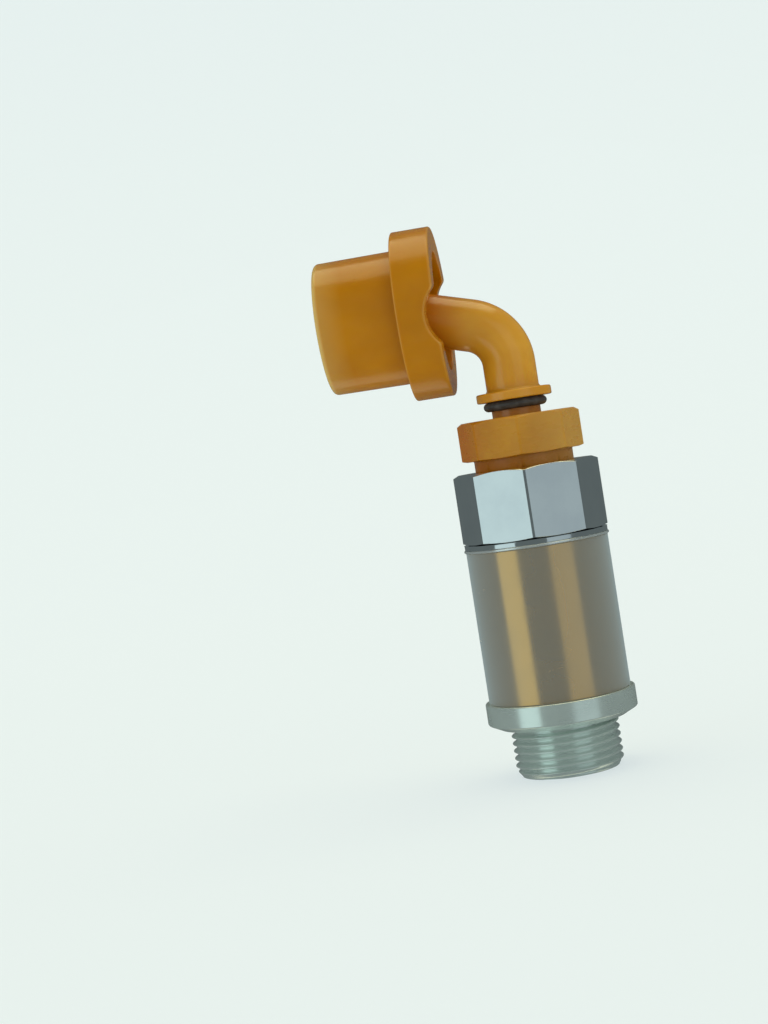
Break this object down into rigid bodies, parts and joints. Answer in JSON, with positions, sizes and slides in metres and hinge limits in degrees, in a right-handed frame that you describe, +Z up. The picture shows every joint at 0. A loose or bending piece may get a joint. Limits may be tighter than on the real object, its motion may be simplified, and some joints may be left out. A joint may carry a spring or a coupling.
{
  "type": "in-line magnetic water filter",
  "caption": "Short in-line magnetic water filter: sleeved body, octagon cap, G3/4 male outlet, and an amber swivel elbow with a flanged G3/4 union nut.",
  "frame": {"origin": "on the filter's axis, at the underside of the collar where the outlet thread ends", "axes": "+Z up the filter's axis from the outlet to the elbow, -X towards the union nut's mouth"},
  "size_m": [0.0617, 0.0414, 0.1361],
  "materials": {
    "plated_body": "satin plated",
    "cap_chrome": "bright plated",
    "ring_steel": "fine turned",
    "sleeve_metal": "warm grey, satin polished",
    "nut_amber": "satin moulded, slightly translucent",
    "elbow_amber": "satin moulded, slightly translucent",
    "nipple_amber": "satin moulded, slightly translucent",
    "black_rubber": "matte",
    "gasket_rubber": "matte",
    "white_acetal": "moulded",
    "stainless": "drawn",
    "magnet_plating": "nickel plated",
    "pole_steel": "ground"
  },
  "bodies": {
    "filter": {"filter_body": "plated_body", "outer_sleeve": "sleeve_metal", "sleeve_clamp_ring": "ring_steel", "inlet_cap": "cap_chrome", "cap_o_ring": "black_rubber", "lower_core_spider": "white_acetal", "upper_core_spider": "white_acetal", "core_tube": "stainless", "lower_core_plug": "stainless", "upper_core_plug": "stainless", "magnet_1": "magnet_plating", "magnet_2": "magnet_plating", "magnet_3": "magnet_plating", "magnet_4": "magnet_plating", "pole_piece_1": "pole_steel", "pole_piece_2": "pole_steel", "pole_piece_3": "pole_steel", "strainer_rim": "stainless", "strainer_basket": "stainless", "nipple_gasket": "gasket_rubber", "inlet_nipple": "nipple_amber"},
    "elbow": {"elbow_pipe": "elbow_amber", "collar_o_ring": "black_rubber", "spigot_o_ring": "black_rubber", "spigot_snap_ring": "stainless", "union_gasket": "gasket_rubber"},
    "union_nut": {"union_nut": "nut_amber"}
  },
  "joints": [
    {"name": "elbow_swivel", "type": "hinge", "parent": "filter", "child": "elbow", "pos_m": [0, 0, 0.07], "axis": [0, 0, 1], "continuous": true},
    {"name": "union_nut_spin", "type": "hinge", "parent": "elbow", "child": "union_nut", "pos_m": [-0.02591, 0, 0.1031], "axis": [-1, 0, 0], "continuous": true}
  ]
}
